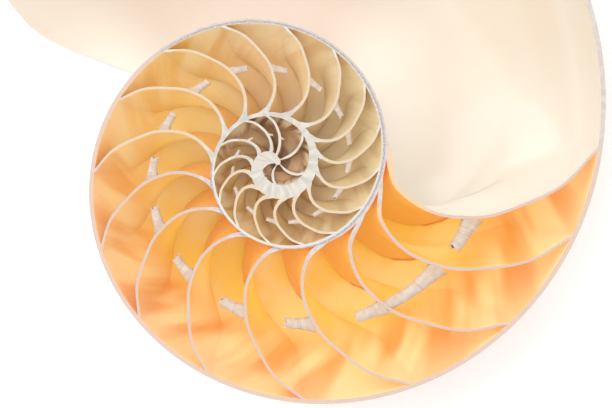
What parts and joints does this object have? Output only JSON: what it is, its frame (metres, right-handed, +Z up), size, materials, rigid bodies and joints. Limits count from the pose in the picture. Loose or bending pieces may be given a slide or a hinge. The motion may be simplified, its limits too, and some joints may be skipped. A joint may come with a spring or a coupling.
{
  "type": "nautilus shell half",
  "caption": "Chambered nautilus shell sawn in half along its middle plane, lying on its flank with the sawn face up: spiral wall, partitions, broken siphuncle necks and open living chamber.",
  "frame": {"origin": "the middle of the shell's footprint box, on the surface that it rests on", "axes": "+Z up from the resting surface; the sawn face looks up and leans about 10 degrees off +Z, towards +X and a little -Y; the mouth opens towards -X and +Y"},
  "size_m": [0.1646, 0.1682, 0.0553],
  "materials": {
    "shell": "satin"
  },
  "bodies": {
    "root": {"shell_half": "shell"}
  },
  "joints": []
}
